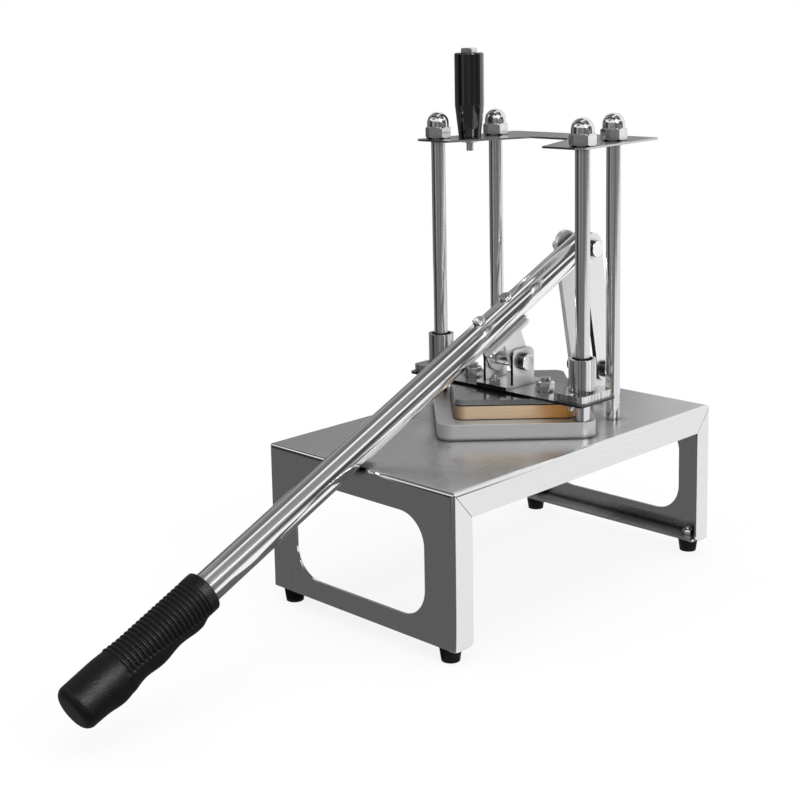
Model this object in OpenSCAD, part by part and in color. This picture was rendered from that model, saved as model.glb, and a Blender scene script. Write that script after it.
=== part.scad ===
// Vertical lever french fry cutter, lever down and pusher at the bottom of its stroke.
// Millimetres. +X is the operator's right, -Y is towards the operator, +Z is up.
// The origin is on the ground, under the middle of the whole cutter with its lever.

/* [Table] */
// Width of the table, side to side
table_w = 200; // [190:1:260]
// Length of the table, front to back
table_l = 326; // [310:1:400]
// Height of the bent sheet, lips to top
table_h = 118.5; // [106:0.5:140]
// Thickness of the table's sheet
sheet_t = 2; // [1.5:0.1:2.5]
// Outer radius of the sheet's bends
bend_r = 3.5; // [3:0.1:5]
// Depth of the flange along each open side
side_flange_d = 21.5; // [16:0.5:26]
// Width of the flange along each leg
leg_flange_w = 19; // [15:0.5:24]
// Depth of the lip that carries the feet
lip_d = 20; // [19:0.5:28]
// Width of the window in each leg panel
window_w = 140; // [110:1:150]
// Height of the window in each leg panel
window_h = 79.5; // [60:0.5:85]
// Height of the window's lower edge above the lip
window_rise = 16; // [12:0.5:20]
// Corner radius of the windows
window_r = 24; // [12:1:30]

/* [Feet] */
// Height of a rubber foot
foot_h = 12; // [9:0.5:18]
// Diameter of a foot where it meets the lip
foot_top_d = 17.5; // [15:0.5:18]
// Diameter of a foot on the ground
foot_base_d = 14; // [13:0.5:16]
// Distance of the feet from the table's sides
foot_inset_x = 14.5; // [13:0.5:22]
// Distance of the feet from the leg panels' outer faces
foot_inset_y = 10; // [9.5:0.1:11]
// Diameter of the foot screws
foot_screw_d = 5; // [4:0.5:5]

/* [Guide rods] */
// Diameter of the four guide rods
rod_d = 12; // [11:0.5:13]
// Diameter of the rods' upper threads
rod_stud_d = 10; // [8:0.5:10]
// Diameter of the rods' lower threads
rod_foot_d = 8; // [6:0.5:9]
// Wall of the blade frame's corners outside the front rods
rod_corner_wall = 2.33; // [2:0.01:4]
// How much nearer the middle the rear rods stand
rear_rod_step = 13.5; // [6:0.5:20]
// Diameter of the spacers under the rear rods
spacer_d = 11.4; // [10:0.1:12]
// Distance of the rear rods behind the front rods
rod_row_gap = 58.5; // [50:0.5:70]
// Height of the top plate's underside above the table
plate_rise = 229.9; // [225:0.1:260]

/* [Top plate] */
// Thickness of the top plate
top_plate_t = 1.6; // [1.5:0.1:3]
// Distance of the plate's sides outside the front rods, along its front edge
plate_front_side = 12.5; // [11:0.5:21]
// Distance of the plate's sides outside the rear rods, along its back edge
plate_back_side = 15; // [13:0.5:27]
// Distance of the plate's front edge before the front rods
plate_front_margin = 17; // [14:1:30]
// Distance of the plate's back edge behind the rear rods
plate_back_margin = 44; // [20:1:50]
// Corner radius of the top plate
plate_corner_r = 7; // [3:0.5:9]
// Distance of the notch from the front rods, along the plate's front edge
notch_to_rod = 26.5; // [22.5:0.5:30.5]
// Half the width of the notch at the back
notch_back_half = 21; // [18:1:30]
// Distance of the notch's back edge from the rear rods
notch_back_shift = -2; // [-10:1:5]

/* [Side handle] */
// How much nearer the middle the handle stands than the front rods
handle_step = 9.5; // [6.5:0.5:11.5]
// Distance of the handle behind the front rods
handle_y = 29.5; // [28:0.5:32]
// Height of the handle
handle_h = 71; // [55:0.5:90]
// Diameter of the handle's straight part
handle_d = 25; // [21:0.5:26]
// Diameter of the handle where it meets the plate
handle_base_d = 19; // [17:0.5:21]
// Height of the handle's taper
handle_taper_h = 27; // [15:0.5:40]
// Diameter of the handle bolt
handle_bolt_d = 6; // [5:0.5:8]

/* [Blade frame] */
// Width of the square blade frame round its opening
frame_rim = 18; // [17:0.5:20]
// Thickness of the blade frame
frame_t = 13; // [12:0.5:18]
// Corner radius of the blade frame
frame_r = 12; // [8:0.5:13]
// Distance of the frame's centre behind the front rods
frame_shift = 2.5; // [0:0.5:4]
// Gap between the frame's rear corner and the rear bracket
frame_gap = 10.67; // [8:0.01:14]
// Number of chips along one side of the opening
chips = 7; // [6:1:8]
// Thickness of a blade
blade_t = 0.8; // [0.5:0.1:1]
// Height of a blade
blade_h = 10; // [8:0.5:10.5]

/* [Pusher] */
// Side of the square pusher block
pusher_side = 98; // [88:0.5:104]
// How far the pusher reaches past the frame's opening on each side
pusher_lap = 3.5; // [3:0.1:6]
// Thickness of the pusher block above its pegs
pusher_t = 10.7; // [8:0.1:14]
// Length of the pegs that press the potato through
peg_l = 6.5; // [3:0.5:8]
// Clearance of a peg from the blades round it
peg_gap = 0.8; // [0.5:0.1:1.5]
// Thickness of the dark seal over the block
seal_t = 1; // [0.8:0.1:1.5]
// Thickness of the metal plate over the block
backing_t = 4.3; // [3.5:0.1:6]
// Distance of the pusher's nuts from the middle
pusher_nut_x = 39; // [30:0.5:45]

/* [Carriage] */
// Length of the carriage plate outside the rods, at each end
carriage_end = 16.5; // [15.5:0.5:19.5]
// Depth of the carriage plate, front to back
carriage_l = 46; // [46:1:60]
// Thickness of the carriage plate
carriage_t = 2; // [2:0.5:3]
// Width of a bushing's flange
bushing_flange_w = 30; // [28:0.5:31]
// Length of a bushing's flange
bushing_flange_l = 41; // [40:0.5:46]
// Thickness of a bushing's flange
bushing_flange_t = 6; // [5:0.5:8]
// Diameter of a bushing's sleeve
sleeve_d = 22; // [21:0.5:23]
// Wall of a bushing's sleeve
sleeve_wall = 2.5; // [2:0.1:3]
// Height of a bushing's sleeve over its flange
sleeve_h = 26; // [20:0.5:32]
// Depth of the liner's top below the sleeve's rim
liner_recess = 4; // [1:0.5:8]
// Distance of the flange screws from a rod, front and back
flange_screw_y = 15.5; // [15.3:0.1:15.8]

/* [Clevis] */
// Width of the clevis over its cheeks
clevis_w = 32; // [32:0.5:38]
// Thickness of the clevis sheet
clevis_t = 2.5; // [2:0.1:2.6]
// Width of a clevis cheek, front to back
cheek_l = 27; // [24:0.5:32]
// Height of the clevis over the carriage plate
cheek_h = 31.5; // [30:0.5:36]
// Corner radius of the cheeks
cheek_r = 6; // [3:0.5:9]
// Height of the lever pivot over the carriage plate
pivot_rise = 20.5; // [20.5:0.5:24]
// Distance of the clevis nuts in front of the pivot and behind it
clevis_nut_y = 18; // [18:0.5:18.5]
// Diameter of the pivot bolts
pivot_d = 8; // [7:0.5:8]

/* [Lever] */
// Gap between the lever tube and the table's front edge, at rest
lever_rest_gap = 0.5; // [0.4:0.1:2]
// Diameter of the lever tube
tube_d = 23; // [20:0.5:24]
// Wall of the lever tube
tube_wall = 1.5; // [1.2:0.1:2]
// Distance from the link pivot to the end of the grip
lever_reach = 577; // [520:1:600]
// Length of the tube behind the link pivot
tube_tail = 12; // [10:0.5:18]
// Length of the grip
grip_l = 120; // [100:1:140]
// Diameter of the grip over its ribs
grip_d = 31; // [29:0.5:32]
// Diameter of the grip's smooth end
grip_end_d = 33.5; // [32:0.5:35]
// Number of ribs on the grip
grip_ribs = 20; // [10:1:24]

/* [Saddle] */
// Distance of the lever pivot below the tube's axis
saddle_drop = 36.8; // [36.5:0.1:40]
// Distance along the tube from the lever pivot to the link pivot
saddle_to_link = 118.9; // [115:0.1:120]
// Width of the saddle over its ears
saddle_w = 25.4; // [24:0.1:25.5]
// Thickness of the saddle sheet
saddle_t = 2.5; // [2:0.1:3]
// Length of the saddle's top along the tube
saddle_l = 50; // [48:0.5:60]
// Width of a saddle ear along the tube
ear_l = 22.7; // [20:0.1:23]
// Distance of the saddle bolts from the ears' centre
saddle_bolt_s = 18; // [17.5:0.5:19]
// Diameter of the saddle bolts
saddle_bolt_d = 6; // [5:0.5:6]

/* [Links] */
// Distance between a link's two pivots
link_l = 110.5; // [106:0.1:114]
// Thickness of a link
link_t = 4; // [3:0.1:5]
// Gap between the lever tube and a link
link_gap = 0.5; // [0.4:0.1:0.8]
// Radius of a link's upper end
link_top_r = 13.5; // [11:0.5:14]
// Radius of a link's lower end
link_foot_r = 10; // [9:0.5:12]
// Distance of the rear pivot before the table's back face
rear_pivot_inset = 37.5; // [33:0.5:41]

/* [Rear bracket] */
// Width of the rear bracket's base
bracket_w = 46; // [46:1:60]
// Depth of the rear bracket's base
bracket_l = 26; // [26:1:36]
// Thickness of the rear bracket's sheet
bracket_t = 3; // [2.5:0.1:4]
// Width of the rear bracket's ears, front to back
bracket_ear_l = 22; // [20:0.5:24]

/* [Fits] */
// Radial clearance of a running fit
run_fit = 0.05; // [0.03:0.01:0.08]
// Radial clearance of a bolt in a plain hole
bolt_fit = 0.25; // [0.2:0.05:0.4]
// Radial clearance of a nut on its thread
thread_fit = 0.05; // [0.03:0.01:0.1]
// Gap between the pusher and the blade frame at rest
rest_gap = 0.5; // [0.4:0.1:1]

/* [Hidden] */
$fn = 64;

// Overrun of every cut past the face that it opens
over = 1;
// Colours
steel = [0.72, 0.73, 0.74];
bright = [0.85, 0.86, 0.87];
cast = [0.70, 0.71, 0.71];
black = [0.08, 0.08, 0.08];
tan_plastic = [0.80, 0.66, 0.46];

// Width and depth of the seam groove where the flanges meet at 45 degrees
seam_w = 0.4;
seam_d = 0.5;
// Gap between a lip and the flanges beside it
lip_relief = 1;
// Radius of the lower corners of the leg flanges
flange_corner_r = 5;

// Standard fasteners: width over flats, height of the nut or head, washer
dome_af = 19;
dome_hex_h = 10;
dome_neck_h = 3;
dome_d = 18.4;
rod_nut_af = 13;
rod_nut_h = 6.5;
rod_washer_d = 16;
rod_washer_t = 1.6;
rod_stud_tail = 3;
washer_relief = 0.5;
pivot_head_d = 14;
pivot_head_h = 5.3;
pivot_nut_af = 13;
pivot_nut_h = 6.5;
pivot_thread_tail = 2.5;
small_d = 5;
small_af = 8;
small_nut_h = 4.5;
small_head_d = 9.5;
small_head_h = 3;
small_tail = 2;
head_edge_r = 0.8;
// A hexagon's cone starts inside its flats by this share, and falls away at this angle
hex_rim_share = 0.96;
hex_cut_angle = 38;
head_clearance = 0.5;
head_margin = 1;

// The square frame stands corner first: its opening follows the pusher, and its corners hold the rods
blade_opening = pusher_side - 2 * pusher_lap;
frame_side = blade_opening + 2 * frame_rim;
frame_corner = frame_side / sqrt(2) - frame_r * (sqrt(2) - 1);
front_rod_x = frame_corner - rod_corner_wall - rod_d / 2;
rear_rod_x = front_rod_x - rear_rod_step;
plate_front_half = front_rod_x + plate_front_side;
plate_back_half = rear_rod_x + plate_back_side;
notch_front_half = front_rod_x - notch_to_rod;
handle_x = front_rod_x - handle_step;
carriage_w = 2 * (front_rod_x + carriage_end);

// Distances behind the table's middle, from its back face forwards
rear_pivot_y = table_l / 2 - rear_pivot_inset;
front_rod_y = rear_pivot_y - bracket_l / 2 - frame_gap - frame_corner - frame_shift;

// Heights, from the ground up
table_top_z = foot_h + table_h;
frame_top_z = table_top_z + frame_t;
block_z = frame_top_z + rest_gap;
seal_z = block_z + pusher_t;
backing_z = seal_z + seal_t;
carriage_z = backing_z + backing_t;
carriage_top_z = carriage_z + carriage_t;
flange_top_z = carriage_top_z + bushing_flange_t;
sleeve_top_z = flange_top_z + sleeve_h;
plate_z = table_top_z + plate_rise;
plate_top_z = plate_z + top_plate_t;
pivot_z = carriage_top_z + pivot_rise;

// The lever's angle above level, at rest, where its tube clears the table's rounded front edge
edge_dy = front_rod_y + table_l / 2 - bend_r;
edge_dz = pivot_z - table_top_z + bend_r;
lever_angle = acos((tube_d / 2 + lever_rest_gap + bend_r - saddle_drop)
    / sqrt(edge_dy * edge_dy + edge_dz * edge_dz)) - atan2(edge_dy, edge_dz);

// The lever's places behind the table's middle
foot_on_axis_y = front_rod_y - saddle_drop * sin(lever_angle);
link_pivot_y = foot_on_axis_y + saddle_to_link * cos(lever_angle);
grip_edge_r = 6;
lever_front_y = link_pivot_y - (lever_reach - grip_edge_r) * cos(lever_angle)
    - (grip_end_d / 2 - grip_edge_r) * sin(lever_angle) - grip_edge_r;
// The table's middle, with the origin under the middle of the whole cutter
mid_y = -(lever_front_y + table_l / 2) / 2;
rod_y = mid_y + front_rod_y;
rear_rod_y = rod_y + rod_row_gap;
link_y = mid_y + link_pivot_y;
link_z = pivot_z + saddle_drop * cos(lever_angle) + saddle_to_link * sin(lever_angle);
rear_y = mid_y + rear_pivot_y;
rear_z = link_z - sqrt(link_l * link_l - pow(rear_pivot_y - link_pivot_y, 2));
link_tilt = asin((rear_pivot_y - link_pivot_y) / link_l);

// Sideways places
link_x = tube_d / 2 + link_gap;
link_out_x = link_x + link_t;
cheek_x = clevis_w / 2;
ear_x = saddle_w / 2;
bracket_x = link_x - link_gap;

// A disc with a rounded upper rim, for bolt heads
module button(d, h, r) {
    rotate_extrude() union() {
        square([d / 2 - r, h]);
        square([d / 2, h - r]);
        translate([d / 2 - r, h - r]) circle(r, $fn = 24);
    }
}

// A hexagonal prism whose corners are cut back by a cone at its top, and at its foot where both is true
module hex_block(af, h, both = false) {
    corner = af / 2 / cos(30);
    rim = af / 2 * hex_rim_share;
    cut = (corner - rim) * tan(hex_cut_angle);
    intersection() {
        rotate([0, 0, 30]) cylinder(h = h, r = corner, $fn = 6);
        rotate_extrude() polygon([[0, 0], [both ? rim : corner, 0], [corner, both ? cut : 0],
            [corner, h - cut], [rim, h], [0, h]]);
    }
}

module hex_nut(af, h, d) {
    difference() {
        hex_block(af, h);
        translate([0, 0, -over]) cylinder(h = h + 2 * over, d = d + 2 * thread_fit);
    }
}

module washer(d, t, hole) {
    difference() {
        cylinder(h = t, d = d);
        translate([0, 0, -over]) cylinder(h = t + 2 * over, d = hole);
    }
}

// A flat rectangle with round corners, centred
module round_rect(w, l, r) {
    square([w - 2 * r, l], center = true);
    square([w, l - 2 * r], center = true);
    for (x = [-1, 1], y = [-1, 1]) translate([x * (w / 2 - r), y * (l / 2 - r)]) circle(r);
}

// A block with bends of radius r along its upper and upright edges
module bent_block(w, l, h, r) {
    intersection() {
        translate([0, 0, -over]) linear_extrude(h + over) round_rect(w, l, r);
        rotate([90, 0, 0]) translate([0, 0, -l]) linear_extrude(2 * l) round_rect(w, 2 * h, r);
        rotate([90, 0, 90]) translate([0, 0, -w]) linear_extrude(2 * w) round_rect(l, 2 * h, r);
    }
}

// Puts its children at the four rods, at height z
module at_front_rods(z) for (x = [-1, 1]) translate([x * front_rod_x, rod_y, z]) children();
module at_rear_rods(z) for (x = [-1, 1]) translate([x * rear_rod_x, rear_rod_y, z]) children();
module at_rods(z) { at_front_rods(z) children(); at_rear_rods(z) children(); }
module at_feet(z) for (x = [-1, 1], y = [-1, 1])
    translate([x * (table_w / 2 - foot_inset_x), mid_y + y * (table_l / 2 - foot_inset_y), z]) children();
// Puts its children at the blade frame's centre, turned corner first
module at_frame(z) translate([0, rod_y + frame_shift, z]) rotate([0, 0, 45]) children();
// Puts its children at a lever point: s along the tube behind the pivot's foot, t up from its axis
module at_lever(s, t) translate([0, mid_y + foot_on_axis_y, pivot_z + saddle_drop * cos(lever_angle)])
    rotate([lever_angle, 0, 0]) translate([0, s, t]) children();
// Lays its children's Z along +X
module along_x() rotate([90, 0, 90]) children();

bracket_screw_x = bracket_w / 2 - small_head_d / 2 - head_margin;
bracket_screw_y = bracket_l / 2 - small_head_d / 2 - head_margin;
module at_bracket_screws(z) for (x = [-1, 1], y = [-1, 1])
    translate([x * bracket_screw_x, rear_y + y * bracket_screw_y, z]) children();

// The seam where two flanges meet at a corner of an open side
module corner_seam(front) {
    run = sqrt(pow(side_flange_d, 2) + pow(leg_flange_w, 2));
    translate([0, mid_y - front * table_l / 2, table_top_z])
        rotate([front * -atan2(side_flange_d, leg_flange_w), 0, 0])
        translate([0, front > 0 ? 0 : -run - over, -seam_w / 2])
        cube([seam_d + over, run + over, seam_w]);
}

module leg_shell() {
    difference() {
        translate([0, mid_y, foot_h]) bent_block(table_w, table_l, table_h, bend_r);
        translate([0, mid_y, foot_h])
            bent_block(table_w - 2 * sheet_t, table_l - 2 * sheet_t, table_h - sheet_t, bend_r - sheet_t);
        translate([-table_w / 2 - over, mid_y - table_l / 2 + leg_flange_w, foot_h - 2 * over])
            cube([table_w + 2 * over, table_l - 2 * leg_flange_w, table_h - side_flange_d + 2 * over]);
        translate([-table_w, mid_y - table_l, foot_h - 2 * over]) cube([2 * table_w, 2 * table_l, 2 * over]);
    }
}

// The corners that round the foot of each leg flange, on the side of the opening under the table
module flange_corners() {
    r = flange_corner_r;
    for (y = [-1, 1]) translate([-table_w / 2 - over, mid_y + y * (table_l / 2 - leg_flange_w), foot_h])
        along_x() linear_extrude(table_w + 2 * over) difference() {
            translate([y > 0 ? -over : -r, -over]) square(r + over);
            translate([y * r, r]) circle(r);
        }
}

module lips() {
    lip_w = table_w - 2 * (sheet_t + lip_relief);
    for (y = [-1, 1]) translate([-lip_w / 2, mid_y + y * (table_l / 2 - sheet_t / 2 - lip_d / 2)
        - lip_d / 2, foot_h]) cube([lip_w, lip_d, sheet_t]);
}

module table_body() {
    color(steel) difference() {
        union() {
            leg_shell();
            lips();
        }
        translate([0, mid_y + table_l, foot_h + window_rise + window_h / 2]) rotate([90, 0, 0])
            linear_extrude(2 * table_l) round_rect(window_w, window_h, window_r);
        at_frame(table_top_z - sheet_t - over)
            linear_extrude(sheet_t + 2 * over) square(blade_opening, center = true);
        intersection() {
            flange_corners();
            for (x = [-table_w / 2 - over, table_w / 2 - sheet_t - lip_relief / 2])
                translate([x, mid_y - table_l / 2, 0])
                cube([sheet_t + lip_relief / 2 + over, table_l, foot_h + table_h]);
        }
        at_rods(table_top_z - sheet_t - over)
            cylinder(h = sheet_t + 2 * over, d = rod_foot_d + 2 * bolt_fit);
        // Room in the side flanges for the washers and nuts, where the rods stand near them
        at_rods(table_top_z - sheet_t - side_flange_d)
            cylinder(h = side_flange_d, d = rod_washer_d + 2 * washer_relief);
        at_bracket_screws(table_top_z - sheet_t - over)
            cylinder(h = sheet_t + 2 * over, d = small_d + 2 * bolt_fit);
        at_feet(foot_h - over) cylinder(h = sheet_t + 2 * over, d = foot_screw_d + 2 * bolt_fit);
        for (x = [-1, 1], y = [-1, 1]) translate([x > 0 ? table_w / 2 - seam_d : -table_w / 2 - over, 0, 0])
            corner_seam(y);
    }
}

foot_recess_d = small_head_d + 2 * head_clearance;
foot_floor = 4;
module rubber_feet() {
    color(black) at_feet(0) difference() {
        cylinder(h = foot_h, d1 = foot_base_d, d2 = foot_top_d);
        translate([0, 0, -over]) cylinder(h = foot_h - foot_floor + over, d = foot_recess_d);
        cylinder(h = foot_h + over, d = foot_screw_d + 2 * thread_fit);
    }
}

module foot_screws() {
    color(bright) at_feet(foot_h - foot_floor) union() {
        rotate([180, 0, 0]) button(small_head_d, small_head_h, head_edge_r);
        cylinder(h = foot_floor + sheet_t + small_nut_h + small_tail, d = foot_screw_d);
    }
}

module foot_nuts() color(bright) at_feet(foot_h + sheet_t) hex_nut(small_af, small_nut_h, foot_screw_d);

cell = blade_opening / chips;
blade_seat = 3;
blade_fit = 0.1;
blade_z = frame_top_z - rest_gap - blade_h;
blade_l = blade_opening + 2 * blade_seat;
blade_at = [for (i = [1 : chips - 1]) i * cell - blade_opening / 2];

module blade_slots() {
    slot_w = blade_t + 2 * blade_fit;
    for (a = blade_at) translate([a - slot_w / 2, -blade_l / 2 - blade_fit, 0])
        cube([slot_w, blade_l + 2 * blade_fit, frame_t]);
}

module blade_frame() {
    color(cast) at_frame(0) difference() {
        translate([0, 0, table_top_z]) linear_extrude(frame_t) round_rect(frame_side, frame_side, frame_r);
        translate([0, 0, table_top_z - over])
            linear_extrude(frame_t + 2 * over) square(blade_opening, center = true);
        translate([0, 0, blade_z]) blade_slots();
        translate([0, 0, blade_z]) rotate([0, 0, 90]) blade_slots();
        rotate([0, 0, -45]) for (x = [-1, 1]) translate([x * front_rod_x, -frame_shift, table_top_z - over])
            cylinder(h = frame_t + 2 * over, d = rod_foot_d + 2 * bolt_fit);
    }
}

// One blade with a half-height notch at every crossing, cut from its upper or its lower edge
module blade(from_top) {
    notch_w = blade_t + 2 * blade_fit;
    notch_h = blade_h / 2 + blade_fit;
    rotate([90, 0, 0]) translate([0, 0, -blade_t / 2]) linear_extrude(blade_t) difference() {
        translate([-blade_l / 2, 0]) square([blade_l, blade_h]);
        for (a = blade_at) translate([a - notch_w / 2, from_top ? blade_h - notch_h : -over])
            square([notch_w, notch_h + over]);
    }
}

module blades_lengthwise() color(bright) at_frame(blade_z)
    for (a = blade_at) translate([0, a, 0]) blade(true);
module blades_crosswise() color(bright) at_frame(blade_z) rotate([0, 0, 90])
    for (a = blade_at) translate([0, a, 0]) blade(false);

// A rod whose shoulders stand on the frame or a spacer and under the top plate
module rod() {
    thread_z = table_top_z - sheet_t - rod_washer_t - rod_nut_h - rod_stud_tail;
    translate([0, 0, frame_top_z]) cylinder(h = plate_z - frame_top_z, d = rod_d);
    translate([0, 0, thread_z]) cylinder(h = frame_top_z - thread_z, d = rod_foot_d);
    translate([0, 0, plate_z]) cylinder(h = top_plate_t + dome_hex_h, d = rod_stud_d);
}
module guide_rods_front() color(steel) at_front_rods(0) rod();
module guide_rods_rear() color(steel) at_rear_rods(0) rod();
module rod_spacers() color(steel) at_rear_rods(table_top_z)
    washer(spacer_d, frame_t, rod_foot_d + 2 * bolt_fit);
module rod_washers() color(bright) at_rods(table_top_z - sheet_t - rod_washer_t)
    washer(rod_washer_d, rod_washer_t, rod_foot_d + 2 * bolt_fit);
module rod_nuts() color(bright) at_rods(table_top_z - sheet_t - rod_washer_t) rotate([180, 0, 0])
    hex_nut(rod_nut_af, rod_nut_h, rod_foot_d);

// The notched outline of the top plate, with round outer corners
plate_front_y = rod_y - plate_front_margin;
plate_back_y = rear_rod_y + plate_back_margin;
notch_y = rear_rod_y + notch_back_shift;
// Half the plate's width at a distance y, along its tapering side
function plate_half(y) = plate_front_half
    + (plate_back_half - plate_front_half) * (y - plate_front_y) / (plate_back_y - plate_front_y);
module top_plate_outline() {
    r = plate_corner_r;
    difference() {
        union() {
            polygon([for (p = [[-1, 0], [1, 0], [1, 1], [-1, 1]]) let (
                y = p[1] == 0 ? plate_front_y + r : plate_back_y - r) [p[0] * plate_half(y), y]]);
            for (x = [-1, 1], y = [plate_front_y + r, plate_back_y - r])
                translate([x * (plate_half(y) - r), y]) circle(r);
            translate([-plate_half(plate_front_y + r) + r, plate_front_y])
                square([2 * (plate_half(plate_front_y + r) - r), 2 * r]);
            translate([-plate_half(plate_back_y - r) + r, plate_back_y - 2 * r])
                square([2 * (plate_half(plate_back_y - r) - r), 2 * r]);
        }
        polygon([[-notch_front_half, plate_front_y - over], [notch_front_half, plate_front_y - over],
            [notch_front_half, plate_front_y], [notch_back_half, notch_y],
            [-notch_back_half, notch_y], [-notch_front_half, plate_front_y]]);
    }
}

module top_plate() {
    color(steel) difference() {
        translate([0, 0, plate_z]) linear_extrude(top_plate_t) top_plate_outline();
        at_rods(plate_z - over) cylinder(h = top_plate_t + 2 * over, d = rod_stud_d + 2 * bolt_fit);
        at_handle(plate_z - over) cylinder(h = top_plate_t + 2 * over, d = handle_bolt_d + 2 * bolt_fit);
    }
}

module dome_nuts() {
    color(bright) at_rods(plate_top_z) difference() {
        union() {
            hex_block(dome_af, dome_hex_h, true);
            cylinder(h = dome_hex_h + dome_neck_h, d = dome_d);
            translate([0, 0, dome_hex_h + dome_neck_h]) sphere(d = dome_d);
        }
        translate([0, 0, -over]) cylinder(h = dome_hex_h + over, d = rod_stud_d + 2 * thread_fit);
        translate([0, 0, -dome_d]) cylinder(h = dome_d, d = 2 * dome_d);
    }
}

handle_rim_r = 1.5;
handle_head_af = 12;
handle_head_h = 4;
handle_nut_h = 3.5;
handle_tail = 7;
module at_handle(z) translate([-handle_x, rod_y + handle_y, z]) children();
module side_handle() {
    r = handle_rim_r;
    color(black) at_handle(plate_top_z) difference() {
        rotate_extrude() union() {
            polygon([[0, 0], [handle_base_d / 2, 0], [handle_d / 2, handle_taper_h],
                [handle_d / 2, handle_h - r], [handle_d / 2 - r, handle_h], [0, handle_h]]);
            translate([handle_d / 2 - r, handle_h - r]) circle(r, $fn = 24);
        }
        translate([0, 0, -over]) cylinder(h = handle_h + 2 * over, d = handle_bolt_d + 2 * bolt_fit);
    }
}
module handle_bolt() {
    color(bright) at_handle(plate_top_z) union() {
        translate([0, 0, handle_h]) hex_block(handle_head_af, handle_head_h);
        translate([0, 0, -top_plate_t - handle_nut_h - handle_tail])
            cylinder(h = handle_h + top_plate_t + handle_nut_h + handle_tail, d = handle_bolt_d);
    }
}
module handle_nut() color(bright) at_handle(plate_z) rotate([180, 0, 0])
    hex_nut(pivot_nut_af, handle_nut_h, handle_bolt_d);

// Rear bracket: a base on the table and two ears between the links
bracket_hole_d = pivot_d + 2 * thread_fit;
module rear_bracket() {
    color(bright) difference() {
        union() {
            translate([0, rear_y, table_top_z]) linear_extrude(bracket_t)
                round_rect(bracket_w, bracket_l, bracket_t);
            for (x = [-bracket_x, bracket_x - bracket_t]) translate([x, rear_y, 0]) {
                translate([0, -bracket_ear_l / 2, table_top_z])
                    cube([bracket_t, bracket_ear_l, rear_z - table_top_z]);
                translate([0, 0, rear_z]) along_x() cylinder(h = bracket_t, d = bracket_ear_l);
            }
        }
        translate([-bracket_w, rear_y, rear_z]) along_x() cylinder(h = 2 * bracket_w, d = bracket_hole_d);
        at_bracket_screws(table_top_z - over) cylinder(h = bracket_t + 2 * over, d = small_d + 2 * bolt_fit);
    }
}
module bracket_screws() {
    color(bright) at_bracket_screws(table_top_z + bracket_t) union() {
        button(small_head_d, small_head_h, head_edge_r);
        tail = bracket_t + sheet_t + small_nut_h + small_tail;
        translate([0, 0, -tail]) cylinder(h = tail, d = small_d);
    }
}
module bracket_nuts() color(bright) at_bracket_screws(table_top_z - sheet_t) rotate([180, 0, 0])
    hex_nut(small_af, small_nut_h, small_d);
module rear_pivot_pin() color(bright) translate([-bracket_x, rear_y, rear_z]) along_x()
    cylinder(h = 2 * bracket_x, d = pivot_d);

// The carriage, its bushings and its pusher
carriage_corner_r = 4;
module at_flange_screws(z) at_front_rods(z)
    for (y = [-1, 1]) translate([0, y * flange_screw_y, 0]) children();
module at_pusher_studs(z) for (x = [-1, 1]) translate([x * pusher_nut_x, rod_y, z]) children();
module at_clevis_studs(z) for (y = [-1, 1]) translate([0, rod_y + y * clevis_nut_y, z]) children();

module carriage_plate() {
    color(steel) difference() {
        translate([0, rod_y, carriage_z]) linear_extrude(carriage_t)
            round_rect(carriage_w, carriage_l, carriage_corner_r);
        at_front_rods(carriage_z - over) cylinder(h = carriage_t + 2 * over, d = liner_d);
        at_flange_screws(carriage_z - over)
            cylinder(h = carriage_t + 2 * over, d = flange_screw_d + 2 * bolt_fit);
        at_pusher_studs(carriage_z - over) cylinder(h = carriage_t + 2 * over, d = pivot_d + 2 * bolt_fit);
        at_clevis_studs(carriage_z - over) cylinder(h = carriage_t + 2 * over, d = small_d + 2 * bolt_fit);
    }
}

liner_d = sleeve_d - 2 * sleeve_wall;
flange_corner_cut_r = 5;
flange_screw_d = 4;
flange_head_d = 7;
flange_nut_af = 7;
flange_nut_h = 3.2;
screw_sink = 2.5;
module guide_bushings() {
    color(bright) at_front_rods(carriage_top_z) difference() {
        union() {
            linear_extrude(bushing_flange_t)
                round_rect(bushing_flange_w, bushing_flange_l, flange_corner_cut_r);
            cylinder(h = bushing_flange_t + sleeve_h, d = sleeve_d);
        }
        translate([0, 0, -over]) cylinder(h = bushing_flange_t + sleeve_h + 2 * over, d = liner_d);
        for (y = [-1, 1]) translate([0, y * flange_screw_y, 0]) {
            translate([0, 0, -over])
                cylinder(h = bushing_flange_t + 2 * over, d = flange_screw_d + 2 * bolt_fit);
            translate([0, 0, bushing_flange_t - screw_sink])
                cylinder(h = screw_sink + over, d = flange_head_d + 2 * bolt_fit);
        }
    }
}
module bushing_liners() {
    color(black) at_front_rods(carriage_z) difference() {
        cylinder(h = sleeve_top_z - liner_recess - carriage_z, d = liner_d - 2 * thread_fit);
        translate([0, 0, -over]) cylinder(h = sleeve_top_z - carriage_z, d = rod_d + 2 * run_fit);
    }
}
module bushing_screws() {
    color(bright) at_flange_screws(flange_top_z - screw_sink) union() {
        button(flange_head_d, small_head_h, head_edge_r);
        tail = bushing_flange_t - screw_sink + carriage_t + flange_nut_h + small_tail;
        translate([0, 0, -tail]) cylinder(h = tail, d = flange_screw_d);
    }
}
module bushing_nuts() color(bright) at_flange_screws(carriage_z) rotate([180, 0, 0])
    hex_nut(flange_nut_af, flange_nut_h, flange_screw_d);

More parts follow.
